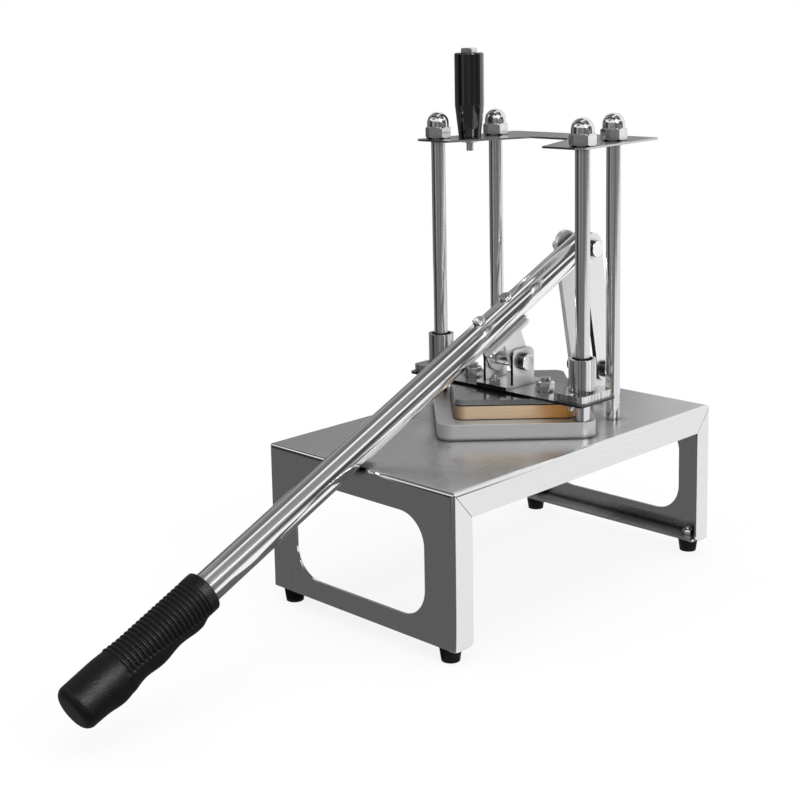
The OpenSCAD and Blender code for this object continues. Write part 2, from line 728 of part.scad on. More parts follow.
pusher_r = 8;
module pusher_backing() {
    color(cast) difference() {
        at_frame(backing_z) linear_extrude(backing_t) round_rect(pusher_side, pusher_side, pusher_r);
        at_pusher_studs(backing_z - over) cylinder(h = backing_t + 2 * over, d = pivot_d + 2 * thread_fit);
        at_clevis_studs(backing_z - over) cylinder(h = backing_t + 2 * over, d = small_d + 2 * thread_fit);
    }
}
module pusher_seal() {
    color(black) difference() {
        at_frame(seal_z) linear_extrude(seal_t) round_rect(pusher_side, pusher_side, pusher_r);
        at_pusher_studs(seal_z - over) cylinder(h = seal_t + 2 * over, d = pivot_d + 2 * thread_fit);
    }
}
stud_bite = 7;
module pusher_block() {
    peg_w = cell - blade_t - 2 * peg_gap;
    color(tan_plastic) difference() {
        at_frame(block_z) union() {
            linear_extrude(pusher_t) round_rect(pusher_side, pusher_side, pusher_r);
            for (i = [0 : chips - 1], j = [0 : chips - 1])
                translate([(i + 0.5) * cell - blade_opening / 2 - peg_w / 2,
                    (j + 0.5) * cell - blade_opening / 2 - peg_w / 2, -peg_l])
                    cube([peg_w, peg_w, peg_l + over]);
        }
        at_pusher_studs(seal_z - stud_bite) cylinder(h = stud_bite + over, d = pivot_d + 2 * thread_fit);
    }
}
stud_washer_d = 16;
stud_washer_t = 1.6;
stud_tail = 3;
stud_l = stud_bite + seal_t + backing_t + carriage_t + stud_washer_t + pivot_nut_h + stud_tail;
module pusher_studs() color(bright) at_pusher_studs(seal_z - stud_bite) cylinder(h = stud_l, d = pivot_d);
module pusher_washers() color(bright) at_pusher_studs(carriage_top_z)
    washer(stud_washer_d, stud_washer_t, pivot_d + 2 * bolt_fit);
module pusher_nuts() color(bright) at_pusher_studs(carriage_top_z + stud_washer_t)
    hex_nut(pivot_nut_af, pivot_nut_h, pivot_d);

clevis_margin = 0.5;
module clevis_bracket() {
    cheek_top_z = carriage_top_z + cheek_h;
    color(bright) difference() {
        union() {
            translate([0, rod_y, carriage_top_z]) linear_extrude(clevis_t)
                square([clevis_w, carriage_l - 2 * clevis_margin], center = true);
            for (x = [-cheek_x, cheek_x - clevis_t]) translate([x, rod_y, carriage_top_z + cheek_h / 2])
                along_x() linear_extrude(clevis_t) union() {
                    round_rect(cheek_l, cheek_h, cheek_r);
                    translate([-cheek_l / 2, -cheek_h / 2]) square([cheek_l, cheek_h / 2]);
                }
        }
        translate([-clevis_w, rod_y, pivot_z]) along_x()
            cylinder(h = 2 * clevis_w, d = pivot_d + 2 * thread_fit);
        at_clevis_studs(carriage_top_z - over) cylinder(h = clevis_t + 2 * over, d = small_d + 2 * bolt_fit);
    }
}
module clevis_studs() color(bright) at_clevis_studs(backing_z)
    cylinder(h = backing_t + carriage_t + clevis_t + small_nut_h + stud_tail, d = small_d);
module clevis_nuts() color(bright) at_clevis_studs(carriage_top_z + clevis_t)
    hex_nut(small_af, small_nut_h, small_d);

// A bolt along +X through pieces from -x to x, with its round head on the right
module cross_bolt(x, nut_h) {
    along_x() {
        translate([0, 0, x]) button(pivot_head_d, pivot_head_h, head_edge_r);
        translate([0, 0, -x - nut_h - pivot_thread_tail])
            cylinder(h = 2 * x + nut_h + pivot_thread_tail, d = pivot_d);
    }
}
module cross_nut(x) translate([-x, 0, 0]) rotate([0, -90, 0]) hex_nut(pivot_nut_af, pivot_nut_h, pivot_d);
module pivot_bolt() color(bright) translate([0, rod_y, pivot_z]) cross_bolt(cheek_x, pivot_nut_h);
module pivot_nut() color(bright) translate([0, rod_y, pivot_z]) cross_nut(cheek_x);

// The lever
grip_end_wall = 6;
tube_front_s = saddle_to_link - lever_reach + grip_end_wall;
bush_d = 12;
module at_link_hole() at_lever(saddle_to_link, 0) children();
module lever_tube() {
    len = saddle_to_link + tube_tail - tube_front_s;
    color(bright) difference() {
        at_lever(tube_front_s, 0) rotate([-90, 0, 0]) difference() {
            cylinder(h = len, d = tube_d, $fn = 96);
            translate([0, 0, -over]) cylinder(h = len + 2 * over, d = tube_d - 2 * tube_wall, $fn = 96);
        }
        at_link_hole() translate([-tube_d, 0, 0]) along_x()
            cylinder(h = 2 * tube_d, d = bush_d + 2 * thread_fit);
        for (s = [-1, 1]) at_lever(s * saddle_bolt_s, -tube_d)
            cylinder(h = 2 * tube_d, d = saddle_bolt_d + 2 * bolt_fit);
    }
}

grip_collar_l = 8;
grip_ribbed_l = 72;
grip_rib_h = 1;
grip_fit = 0.1;
module lever_grip() {
    pitch = grip_ribbed_l / grip_ribs;
    rear_s = saddle_to_link - lever_reach + grip_l;
    smooth_l = grip_l - grip_collar_l - grip_ribbed_l;
    color(black) at_lever(rear_s, 0) rotate([90, 0, 0]) rotate_extrude($fn = 96) difference() {
        union() {
            square([grip_d / 2 - grip_rib_h, grip_l - grip_edge_r]);
            square([grip_d / 2, grip_collar_l]);
            for (i = [0 : grip_ribs - 1]) translate([0, grip_collar_l + i * pitch + pitch / 2])
                square([grip_d / 2, pitch / 2]);
            translate([0, grip_l - smooth_l]) square([grip_end_d / 2, smooth_l - grip_edge_r]);
            translate([0, grip_l - smooth_l]) square([grip_end_d / 2 - grip_edge_r, smooth_l]);
            translate([grip_end_d / 2 - grip_edge_r, grip_l - grip_edge_r]) circle(grip_edge_r, $fn = 32);
        }
        translate([0, -over]) square([tube_d / 2 + grip_fit, grip_l - grip_end_wall + over]);
    }
}
module lever_end_bush() {
    bush_l = tube_d + link_gap / 2;
    color(bright) at_link_hole() translate([-bush_l / 2, 0, 0]) along_x()
        washer(bush_d, bush_l, pivot_d + 2 * run_fit);
}
// Two strips on the saddle's top that hug the tube's underside
cradle_angle = 38;
module saddle_cradle() {
    inner = tube_d / 2 + thread_fit;
    outer = tube_d / 2 + saddle_t;
    difference() {
        cylinder(h = saddle_l, r = outer);
        translate([0, 0, -over]) cylinder(h = saddle_l + 2 * over, r = inner);
        translate([-2 * outer, outer * sin(cradle_angle) - 4 * outer, -over])
            cube([4 * outer, 4 * outer, saddle_l + 2 * over]);
        translate([-2 * outer, tube_d / 2 + saddle_t / 2, -over])
            cube([4 * outer, outer, saddle_l + 2 * over]);
    }
}
module lever_saddle() {
    color(bright) difference() {
        union() {
            at_lever(0, -tube_d / 2 - saddle_t) linear_extrude(saddle_t)
                round_rect(saddle_w, saddle_l, saddle_t);
            at_lever(-saddle_l / 2, 0) rotate([-90, 0, 0]) saddle_cradle();
            for (x = [-ear_x, ear_x - saddle_t]) at_lever(0, 0) translate([x, 0, 0]) {
                translate([0, -ear_l / 2, -saddle_drop])
                    cube([saddle_t, ear_l, saddle_drop - tube_d / 2 - saddle_t / 2]);
                translate([0, 0, -saddle_drop]) along_x() cylinder(h = saddle_t, d = ear_l);
            }
        }
        at_lever(0, -saddle_drop) translate([-saddle_w, 0, 0]) along_x()
            cylinder(h = 2 * saddle_w, d = pivot_d + 2 * run_fit);
        for (s = [-1, 1]) at_lever(s * saddle_bolt_s, -tube_d)
            cylinder(h = tube_d, d = saddle_bolt_d + 2 * bolt_fit);
    }
}
module saddle_bush() {
    bush_l = saddle_w - 2 * saddle_t;
    color(bright) at_lever(0, -saddle_drop) translate([-bush_l / 2, 0, 0]) along_x()
        washer(bush_d, bush_l, pivot_d + 2 * run_fit);
}
saddle_head_d = 10.5;
saddle_head_h = 3.3;
saddle_nut_af = 10;
saddle_nut_h = 5;
// Height of the head's seat over the tube's axis, where its rim meets the round tube
saddle_seat = sqrt(pow(tube_d / 2, 2) - pow(saddle_bolt_d / 2, 2));
module saddle_bolts() {
    len = saddle_seat + tube_d / 2 + saddle_t + saddle_nut_h + small_tail;
    color(bright) for (s = [-1, 1]) difference() {
        at_lever(s * saddle_bolt_s, 0) union() {
            translate([0, 0, saddle_seat]) button(saddle_head_d, saddle_head_h, head_edge_r);
            translate([0, 0, saddle_seat - len]) cylinder(h = len, d = saddle_bolt_d);
        }
        at_lever(s * saddle_bolt_s - saddle_head_d, 0) rotate([-90, 0, 0]) difference() {
            cylinder(h = 2 * saddle_head_d, d = tube_d, $fn = 96);
            translate([0, 0, saddle_head_d]) rotate([90, 0, 0]) translate([0, 0, -tube_d])
                cylinder(h = 2 * tube_d, d = saddle_bolt_d);
        }
    }
}
module saddle_nuts() color(bright) for (s = [-1, 1])
    at_lever(s * saddle_bolt_s, -tube_d / 2 - saddle_t) rotate([180, 0, 0])
    hex_nut(saddle_nut_af, saddle_nut_h, saddle_bolt_d);

// A link: two round ends joined by a strip that is slightly narrower than they are
link_waist = 0.3;
module link_outline() {
    top = link_top_r - link_waist;
    foot = link_foot_r - link_waist;
    difference() {
        union() {
            circle(link_top_r);
            translate([0, -link_l]) circle(link_foot_r);
            polygon([[-foot, -link_l], [foot, -link_l], [top, 0], [-top, 0]]);
        }
        circle(d = pivot_d + 2 * thread_fit);
        translate([0, -link_l]) circle(d = pivot_d + 2 * thread_fit);
    }
}
module link(x) color(bright) translate([x, link_y, link_z]) rotate([link_tilt, 0, 0]) along_x()
    linear_extrude(link_t) link_outline();
module link_left() link(-link_out_x);
module link_right() link(link_x);
module link_top_bolt() color(bright) translate([0, link_y, link_z]) cross_bolt(link_out_x, pivot_nut_h);
module link_top_nut() color(bright) translate([0, link_y, link_z]) cross_nut(link_out_x);
// Short bolts through the links' lower ends, clear of the bracket between them
module link_lower_bolts() {
    color(bright) for (x = [0, 180]) translate([0, rear_y, rear_z]) rotate([0, 0, x]) along_x() union() {
        translate([0, 0, link_out_x]) button(pivot_head_d, pivot_head_h, head_edge_r);
        translate([0, 0, link_x]) cylinder(h = link_t, d = pivot_d);
    }
}

table_body();
rubber_feet();
foot_screws();
foot_nuts();
blade_frame();
blades_lengthwise();
blades_crosswise();
guide_rods_front();
guide_rods_rear();
rod_spacers();
rod_washers();
rod_nuts();
top_plate();
dome_nuts();
side_handle();
handle_bolt();
handle_nut();
rear_bracket();
bracket_screws();
bracket_nuts();
rear_pivot_pin();
carriage_plate();
guide_bushings();
bushing_liners();
bushing_screws();
bushing_nuts();
pusher_backing();
pusher_seal();
pusher_block();
pusher_studs();
pusher_washers();
pusher_nuts();
clevis_bracket();
clevis_studs();
clevis_nuts();
pivot_bolt();
pivot_nut();
lever_tube();
lever_grip();
lever_end_bush();
lever_saddle();
saddle_bush();
saddle_bolts();
saddle_nuts();
link_left();
link_right();
link_top_bolt();
link_top_nut();
link_lower_bolts();
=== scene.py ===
import math

import bmesh
import bpy
from mathutils import Matrix, Vector


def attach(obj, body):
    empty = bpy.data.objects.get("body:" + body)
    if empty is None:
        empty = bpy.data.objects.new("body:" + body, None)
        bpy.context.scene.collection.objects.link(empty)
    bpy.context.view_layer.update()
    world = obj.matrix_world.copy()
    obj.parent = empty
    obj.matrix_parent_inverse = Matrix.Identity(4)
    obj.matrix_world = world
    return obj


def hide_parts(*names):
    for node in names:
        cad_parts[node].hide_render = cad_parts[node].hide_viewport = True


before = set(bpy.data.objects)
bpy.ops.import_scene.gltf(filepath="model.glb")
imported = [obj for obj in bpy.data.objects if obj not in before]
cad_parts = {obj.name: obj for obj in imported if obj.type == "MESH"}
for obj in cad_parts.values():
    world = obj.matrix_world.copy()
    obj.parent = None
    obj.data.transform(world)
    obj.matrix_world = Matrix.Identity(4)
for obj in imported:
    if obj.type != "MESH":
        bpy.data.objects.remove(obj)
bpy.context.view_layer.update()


def mm(*values):
    """Vector in metres from millimetres."""
    return Vector(v / 1000 for v in values)


# Camera: solved from the table's corners, feet and rods, then again with a smaller shift
AZIMUTH = math.radians(44.7384)
ELEVATION = math.radians(9.2712)
ROLL = math.radians(-1.0983)
CAMERA_PLACE = mm(773.76, -762.38, 456.88)
FOCAL_PX = 1467.98
CENTRE_Y_PX = 265
IMAGE_PX = 800
SENSOR_MM = 36
CLIP_NEAR = 0.05
CLIP_FAR = 50


def add_camera():
    """Camera that looks at the object from AZIMUTH and ELEVATION, rolled about its own axis."""
    back = Vector((math.sin(AZIMUTH) * math.cos(ELEVATION),
                   -math.cos(AZIMUTH) * math.cos(ELEVATION),
                   math.sin(ELEVATION)))
    right = Vector((math.cos(AZIMUTH), math.sin(AZIMUTH), 0))
    up = back.cross(right)
    right_rolled = math.cos(ROLL) * right + math.sin(ROLL) * up
    up_rolled = -math.sin(ROLL) * right + math.cos(ROLL) * up
    data = bpy.data.cameras.new("camera")
    data.sensor_width = SENSOR_MM
    data.lens = FOCAL_PX / IMAGE_PX * SENSOR_MM
    data.shift_y = -(IMAGE_PX / 2 - CENTRE_Y_PX) / IMAGE_PX
    data.clip_start = CLIP_NEAR
    data.clip_end = CLIP_FAR
    camera = bpy.data.objects.new("camera", data)
    bpy.context.collection.objects.link(camera)
    turn = Matrix((right_rolled, up_rolled, back)).transposed().to_4x4()
    camera.matrix_world = Matrix.Translation(CAMERA_PLACE) @ turn
    bpy.context.scene.camera = camera


add_camera()
bpy.context.scene.view_settings.view_transform = "Standard"


# Colours, as linear values from 0 to 1
def linear(level):
    """Linear value of an sRGB level from 0 to 255."""
    c = level / 255
    return c / 12.92 if c <= 0.04045 else ((c + 0.055) / 1.055) ** 2.4


def rgb(r, g, b):
    return (linear(r), linear(g), linear(b), 1)


def grey(value, blue=1.0):
    """A grey. Its blue part is multiplied by blue."""
    return (value, value, value * blue, 1)


WHITE = grey(1)
STEEL_BLUE = 1.01

# Sockets of the mix node when it mixes colours
MIX_FACTOR = 0
MIX_A = 6
MIX_B = 7
MIX_RESULT = 2

# Noise: the limits of its middle range, and the roughness of its octaves
NOISE_LOW = 0.3
NOISE_HIGH = 0.7
NOISE_ROUGHNESS = 0.55

# Openness above which a crevice no longer gets painted shade
OPEN_FACE = 0.88


# Building blocks of the materials. Lengths are in metres.
def link(tree, a, out, b, into):
    tree.links.new(a.outputs[out], b.inputs[into])


def new_material(name, **values):
    """Material with its node tree and its Principled shader, whose sockets get the values."""
    m = bpy.data.materials.new(name)
    m.use_nodes = True
    shader = m.node_tree.nodes["Principled BSDF"]
    for key, value in values.items():
        shader.inputs[key.replace("_", " ")].default_value = value
    return m, m.node_tree, shader


def maths(tree, operation):
    node = tree.nodes.new("ShaderNodeMath")
    node.operation = operation
    return node


def vector_maths(tree, operation):
    node = tree.nodes.new("ShaderNodeVectorMath")
    node.operation = operation
    return node


def colour_mix(tree, blend_type="MIX"):
    node = tree.nodes.new("ShaderNodeMix")
    node.data_type = "RGBA"
    node.blend_type = blend_type
    return node


def bevel(tree, radius, samples):
    """Normals as if the edges were rounded by the radius."""
    node = tree.nodes.new("ShaderNodeBevel")
    node.samples = samples
    node.inputs["Radius"].default_value = radius
    return node


def coordinates(tree, scale, tilt):
    """Object coordinates, turned about X by tilt and scaled."""
    where = tree.nodes.new("ShaderNodeTexCoord")
    turned = tree.nodes.new("ShaderNodeVectorRotate")
    turned.rotation_type = "X_AXIS"
    turned.inputs["Angle"].default_value = -tilt
    link(tree, where, "Object", turned, "Vector")
    mapping = tree.nodes.new("ShaderNodeMapping")
    mapping.inputs["Scale"].default_value = scale
    link(tree, turned, "Vector", mapping, "Vector")
    return mapping


def noise(tree, scale, tilt=0.0, detail=4.0):
    """Noise with scale cells to the metre along X, Y and Z. A small one stretches it into a grain."""
    where = coordinates(tree, scale, tilt)
    n = tree.nodes.new("ShaderNodeTexNoise")
    n.inputs["Scale"].default_value = 1
    n.inputs["Detail"].default_value = detail
    n.inputs["Roughness"].default_value = NOISE_ROUGHNESS
    link(tree, where, "Vector", n, "Vector")
    return n


def ramp(tree, source, stops, out="Fac"):
    """Colour ramp with the stops, each a place from 0 to 1 and a colour."""
    r = tree.nodes.new("ShaderNodeValToRGB")
    elements = r.color_ramp.elements
    while len(elements) < len(stops):
        elements.new(0.5)
    for e, (place, colour) in zip(elements, stops):
        e.position = place
        e.color = colour
    link(tree, source, out, r, "Fac")
    return r


def two_tones(tree, source, dark, light, out="Fac"):
    """Runs from one colour to the other over the middle range of a noise."""
    return ramp(tree, source, [(NOISE_LOW, dark), (NOISE_HIGH, light)], out)


def range_of(tree, source, low, high, out="Fac", span=(0.0, 1.0)):
    """Maps a span of values to the range from low to high."""
    r = tree.nodes.new("ShaderNodeMapRange")
    r.inputs["From Min"].default_value = span[0]
    r.inputs["From Max"].default_value = span[1]
    r.inputs["To Min"].default_value = low
    r.inputs["To Max"].default_value = high
    link(tree, source, out, r, "Value")
    return r


def facing(tree, axis):
    """How squarely a face looks along one axis, 0 to 1, either way round."""
    shape = tree.nodes.new("ShaderNodeNewGeometry")
    dot = vector_maths(tree, "DOT_PRODUCT")
    dot.inputs[1].default_value = axis
    link(tree, shape, "Normal", dot, 0)
    size = maths(tree, "ABSOLUTE")
    link(tree, dot, "Value", size, 0)
    return size


def bumped(tree, shader, source, relief, edge, out="Fac"):
    """Gives the surface a relief, and edges that look rounded by edge."""
    bump = tree.nodes.new("ShaderNodeBump")
    bump.inputs["Distance"].default_value = relief
    bump.inputs["Strength"].default_value = 1
    link(tree, source, out, bump, "Height")
    link(tree, bevel(tree, edge, samples=4), "Normal", bump, "Normal")
    link(tree, bump, "Normal", shader, "Normal")


def finished(tree, shader, source, roughness, relief, edge):
    """Roughness and relief that follow one noise, and edges that look rounded by edge."""
    gloss = range_of(tree, source, *roughness)
    link(tree, gloss, "Result", shader, "Roughness")
    bumped(tree, shader, source, relief, edge)


def painted_crevice_shade(tree, colour, out, shader, reach=0.006, depth=0.3, darkest=0.25):
    """Paints shade into a colour where surfaces meet closely, standing in for contact shadow, then sends it
    to the shader. The colour is multiplied by depth where the openness within reach is darkest or less."""
    near = tree.nodes.new("ShaderNodeAmbientOcclusion")
    near.samples = 6
    near.inputs["Distance"].default_value = reach
    shade = ramp(tree, near, [(darkest, grey(depth)), (OPEN_FACE, WHITE)], "AO")
    mix = colour_mix(tree, "MULTIPLY")
    mix.inputs[MIX_FACTOR].default_value = 1
    link(tree, colour, out, mix, MIX_A)
    link(tree, shade, "Color", mix, MIX_B)
    link(tree, mix, MIX_RESULT, shader, "Base Color")


def painted_edge_highlight(tree, tone, reach, light):
    """Paints a highlight: mixes a lighter grey in where the surface turns a corner within reach."""
    shape = tree.nodes.new("ShaderNodeNewGeometry")
    dot = vector_maths(tree, "DOT_PRODUCT")
    link(tree, shape, "Normal", dot, 0)
    link(tree, bevel(tree, reach, samples=6), "Normal", dot, 1)
    highlit_edge = range_of(tree, dot, 1, 0, "Value", span=(0.8, 0.98))
    mix = colour_mix(tree)
    link(tree, highlit_edge, "Result", mix, MIX_FACTOR)
    link(tree, tone, "Color", mix, MIX_A)
    mix.inputs[MIX_B].default_value = grey(light)
    return mix


# Kinds of material: tones and roughness are pairs, from low to high, and a grain is a noise's scale
# along X, Y and Z. The axes are those that a face is tested against.
FINE_RELIEF = 0.000003
FRONT_TO_BACK = (500, 4, 500)
UPRIGHT = (500, 500, 4)
ALONG_X = (1, 0, 0)
ALONG_Y = (0, 1, 0)
ALONG_Z = (0, 0, 1)


def steel_tones(tree, grain, tones, out="Fac"):
    """Greys with a touch of blue that follow a grain."""
    dark, light = (grey(tone, STEEL_BLUE) for tone in tones)
    return two_tones(tree, grain, dark, light, out)


def metal(name, tones, grain, roughness, relief=FINE_RELIEF, tilt=0.0):
    """Bare metal whose colour, roughness and relief follow a stretched grain."""
    m, tree, shader = new_material(name, Metallic=1.0)
    fine = noise(tree, grain, tilt)
    # The grain's tones get painted shade in the crevices
    painted_crevice_shade(tree, steel_tones(tree, fine, tones), "Color", shader)
    finished(tree, shader, fine, roughness, relief, edge=0.0004)
    return m


def bent_sheet(name, tones, roughness, edge, flat_extra=0.0):
    """Brushed sheet: the grain runs front to back over the top and upright down the leg panels.
    Level faces are rougher by flat_extra."""
    m, tree, shader = new_material(name, Metallic=1.0)
    flat = noise(tree, FRONT_TO_BACK)
    upright = noise(tree, UPRIGHT)
    legs = range_of(tree, facing(tree, ALONG_Y), 0, 1, "Value", span=(0.6, 0.8))
    grain = tree.nodes.new("ShaderNodeMix")
    link(tree, legs, "Result", grain, "Factor")
    link(tree, flat, "Fac", grain, "A")
    link(tree, upright, "Fac", grain, "B")
    tone = steel_tones(tree, grain, tones, "Result")
    # Painted shade where the sheet meets other parts, as a contact shadow
    painted_crevice_shade(tree, tone, "Color", shader, reach=0.008, depth=0.15, darkest=0.5)
    gloss = range_of(tree, grain, *roughness, "Result")
    level = range_of(tree, facing(tree, ALONG_Z), 0, flat_extra, "Value", span=(0.9, 1.0))
    total = maths(tree, "ADD")
    link(tree, gloss, "Result", total, 0)
    link(tree, level, "Result", total, 1)
    link(tree, total, "Value", shader, "Roughness")
    bumped(tree, shader, grain, FINE_RELIEF, edge, "Result")
    return m


def strip_with_painted_edges(name, tones, grain, roughness, painted_edge_tone, axis, tilt=0.0, matte=0.0, depth=0.35,
              paint_along_axis=False):
    """Polished strip whose cut edge faces get one flat tone as painted light: dark for painted shade and a
    painted dark reflection, light for a painted highlight. The faces that look along the axis keep the
    polished tones, or with the last argument set they take the painted one. Matte is the share that
    isn't metal. Shade is painted into its crevices down to depth."""
    m, tree, shader = new_material(name, Metallic=1.0 - matte)
    fine = noise(tree, grain, tilt)
    dark, light = tones
    tone = two_tones(tree, fine, grey(dark), grey(light))
    # Share of the polished tones; the rest takes the painted edge tone
    face = range_of(tree, facing(tree, axis), int(paint_along_axis), int(not paint_along_axis), "Value", span=(0.5, 0.75))
    mix = colour_mix(tree)
    link(tree, face, "Result", mix, MIX_FACTOR)
    mix.inputs[MIX_A].default_value = grey(painted_edge_tone)
    link(tree, tone, "Color", mix, MIX_B)
    painted_crevice_shade(tree, mix, MIX_RESULT, shader, reach=0.005, depth=depth)
    finished(tree, shader, fine, roughness, relief=0.000004, edge=0.0002)
    return m


def cast_metal(name, tones):
    """Grained casting with cloudy tones, a painted highlight on its edges and painted shade in crevices."""
    m, tree, shader = new_material(name, Metallic=0.6)
    grain = noise(tree, (900, 900, 900), detail=6)
    cloud = noise(tree, (14, 14, 14), detail=2)
    dark, light = tones
    tone = two_tones(tree, cloud, grey(dark), grey(light))
    # Painted highlight along the edges, then painted shade where the frame meets other parts
    highlit_edge = painted_edge_highlight(tree, tone, reach=0.001, light=0.95)
    painted_crevice_shade(tree, highlit_edge, MIX_RESULT, shader, reach=0.0035, depth=0.05, darkest=0.5)
    finished(tree, shader, grain, (0.28, 0.42), relief=0.00008, edge=0.0004)
    return m


def plastic(name, base, roughness, grain, relief, shine, coat=0.0, coat_index=1.5, crevice_shade_reach=0.0):
    """Plastic or rubber with fine specks. The last argument is the reach of the shade painted into its
    crevices, 0 for none.
    """
    m, tree, shader = new_material(name, Coat_Weight=coat, Coat_Roughness=0.03, Specular_IOR_Level=shine,
                                   Coat_IOR=coat_index)
    speck = noise(tree, (grain, grain, grain), detail=5)
    dark, light = (tuple(c * share for c in base[:3]) + (1,) for share in (0.75, 1.3))
    tone = two_tones(tree, speck, dark, light)
    if crevice_shade_reach:
        painted_crevice_shade(tree, tone, "Color", shader, reach=crevice_shade_reach, depth=0.1)
    else:
        link(tree, tone, "Color", shader, "Base Color")
    finished(tree, shader, speck, roughness, relief, edge=0.0005)
    return m


def tan_plastic():
    """Tan pusher plastic that warms to orange towards its right corner, with painted shade at its left
    end, a painted highlight at the corner and fine saw marks.
    """
    towards_corner = (0.7071, 0.7071, 0)
    first_and_last = (0.055, 0.153)
    m, tree, shader = new_material("pusher_plastic", Specular_IOR_Level=0.4)
    where = tree.nodes.new("ShaderNodeTexCoord")
    along = vector_maths(tree, "DOT_PRODUCT")
    along.inputs[1].default_value = towards_corner
    link(tree, where, "Object", along, 0)
    place = range_of(tree, along, 0, 1, "Value", span=first_and_last)
    # The first stop is painted shade on the left end, the last a painted highlight on the right corner
    tan_with_shade_and_highlight = ramp(tree, place, [(0.0, rgb(120, 92, 72)), (0.1, rgb(205, 182, 152)), (0.6, rgb(208, 180, 146)),
                              (0.8, rgb(214, 156, 84)), (0.93, rgb(212, 146, 60)),
                              (1.0, rgb(240, 225, 200))], "Result")
    saw = noise(tree, (60, 60, 900), detail=5)
    shade = two_tones(tree, saw, (0.75, 0.72, 0.7, 1), WHITE)
    mix = colour_mix(tree, "MULTIPLY")
    mix.inputs[MIX_FACTOR].default_value = 0.35
    link(tree, tan_with_shade_and_highlight, "Color", mix, MIX_A)
    link(tree, shade, "Color", mix, MIX_B)
    link(tree, mix, MIX_RESULT, shader, "Base Color")
    finished(tree, shader, saw, (0.35, 0.5), relief=0.00004, edge=0.0005)
    return m


# Slope of the lever, down to the front, and lean of the links, forwards at the top
LEVER_TILT = math.radians(24.3885)
LINK_TILT = math.radians(9.3264)

sheet_steel = bent_sheet("brushed_sheet", (0.75, 0.79), (0.1, 0.15), 0.0005, flat_extra=0.14)
plate_steel = bent_sheet("top_plate_steel", (0.54, 0.60), (0.15, 0.2), 0.0002)
# Each strip's tone after its roughness is painted on its edges: dark for shade, light for highlight
carriage_steel = strip_with_painted_edges("carriage_steel", (0.54, 0.62), FRONT_TO_BACK, (0.15, 0.22), 0.06, ALONG_Z)
rod_steel = metal("guide_rod_steel", (0.66, 0.78), (500, 500, 5), (0.12, 0.18))
tube_steel = metal("lever_tube_steel", (0.82, 0.96), (300, 2, 300), (0.07, 0.11), tilt=LEVER_TILT)
# The links: one steel in two copies, painted highlight on the left one's edges, painted shade on the
# right's
left_link_steel = strip_with_painted_edges("left_link_steel", (0.72, 0.80), (500, 500, 6), (0.2, 0.28), 0.75, ALONG_X,
                            LINK_TILT, matte=0.45)
right_link_steel = strip_with_painted_edges("right_link_steel", (0.76, 0.84), (500, 500, 6), (0.2, 0.28), 0.05, ALONG_X,
                             LINK_TILT)
bracket_steel = strip_with_painted_edges("bracket_steel", (0.78, 0.82), (500, 500, 30), (0.2, 0.28), 0.04, ALONG_Y,
                          matte=0.1, depth=0.25, paint_along_axis=True)
saddle_steel = strip_with_painted_edges("saddle_steel", (0.78, 0.88), (500, 12, 500), (0.3, 0.4), 0.92, ALONG_X,
                         LEVER_TILT, matte=0.35, depth=0.75)
bolt_steel = strip_with_painted_edges("cross_bolt_steel", (0.88, 0.95), (300, 300, 300), (0.16, 0.24), 0.06, ALONG_X)
bright_steel = metal("bright_fastener_steel", (0.70, 0.82), (250, 250, 250), (0.06, 0.12))
# The sleeve's strong lengthwise stripes: partly its drawn grain, partly a painted reflection
sleeve_steel_painted_stripes = metal("drawn_sleeve_steel_painted_stripes", (0.28, 0.95), (900, 900, 2), (0.08, 0.16), 0.000015)
blade_steel = metal("blade_steel", (0.55, 0.75), (900, 900, 40), (0.18, 0.28), 0.00001)
frame_metal = cast_metal("cast_frame_metal", (0.52, 0.6))
backing_metal = metal("pusher_backing_metal", (0.46, 0.56), (500, 500, 40), (0.12, 0.2), 0.000004)
# The grip gets painted shade in the grooves between its ribs
grip_rubber = plastic("grip_rubber", rgb(9, 9, 10), (0.27, 0.38), 900, 0.00035, shine=0.45,
                      crevice_shade_reach=0.003)
foot_rubber = plastic("foot_rubber", rgb(12, 12, 13), (0.5, 0.7), 900, 0.00006, shine=0.12)
seal_rubber = plastic("seal_rubber", rgb(14, 14, 15), (0.5, 0.7), 900, 0.00005, shine=0.15)
handle_plastic = plastic("handle_plastic", rgb(5, 5, 6), (0.12, 0.2), 500, 0.00001, shine=0.05,
                         coat=1.0, coat_index=1.8)
liner_plastic = plastic("liner_plastic", rgb(24, 24, 25), (0.4, 0.55), 700, 0.00004, shine=0.25)
pusher_plastic = tan_plastic()

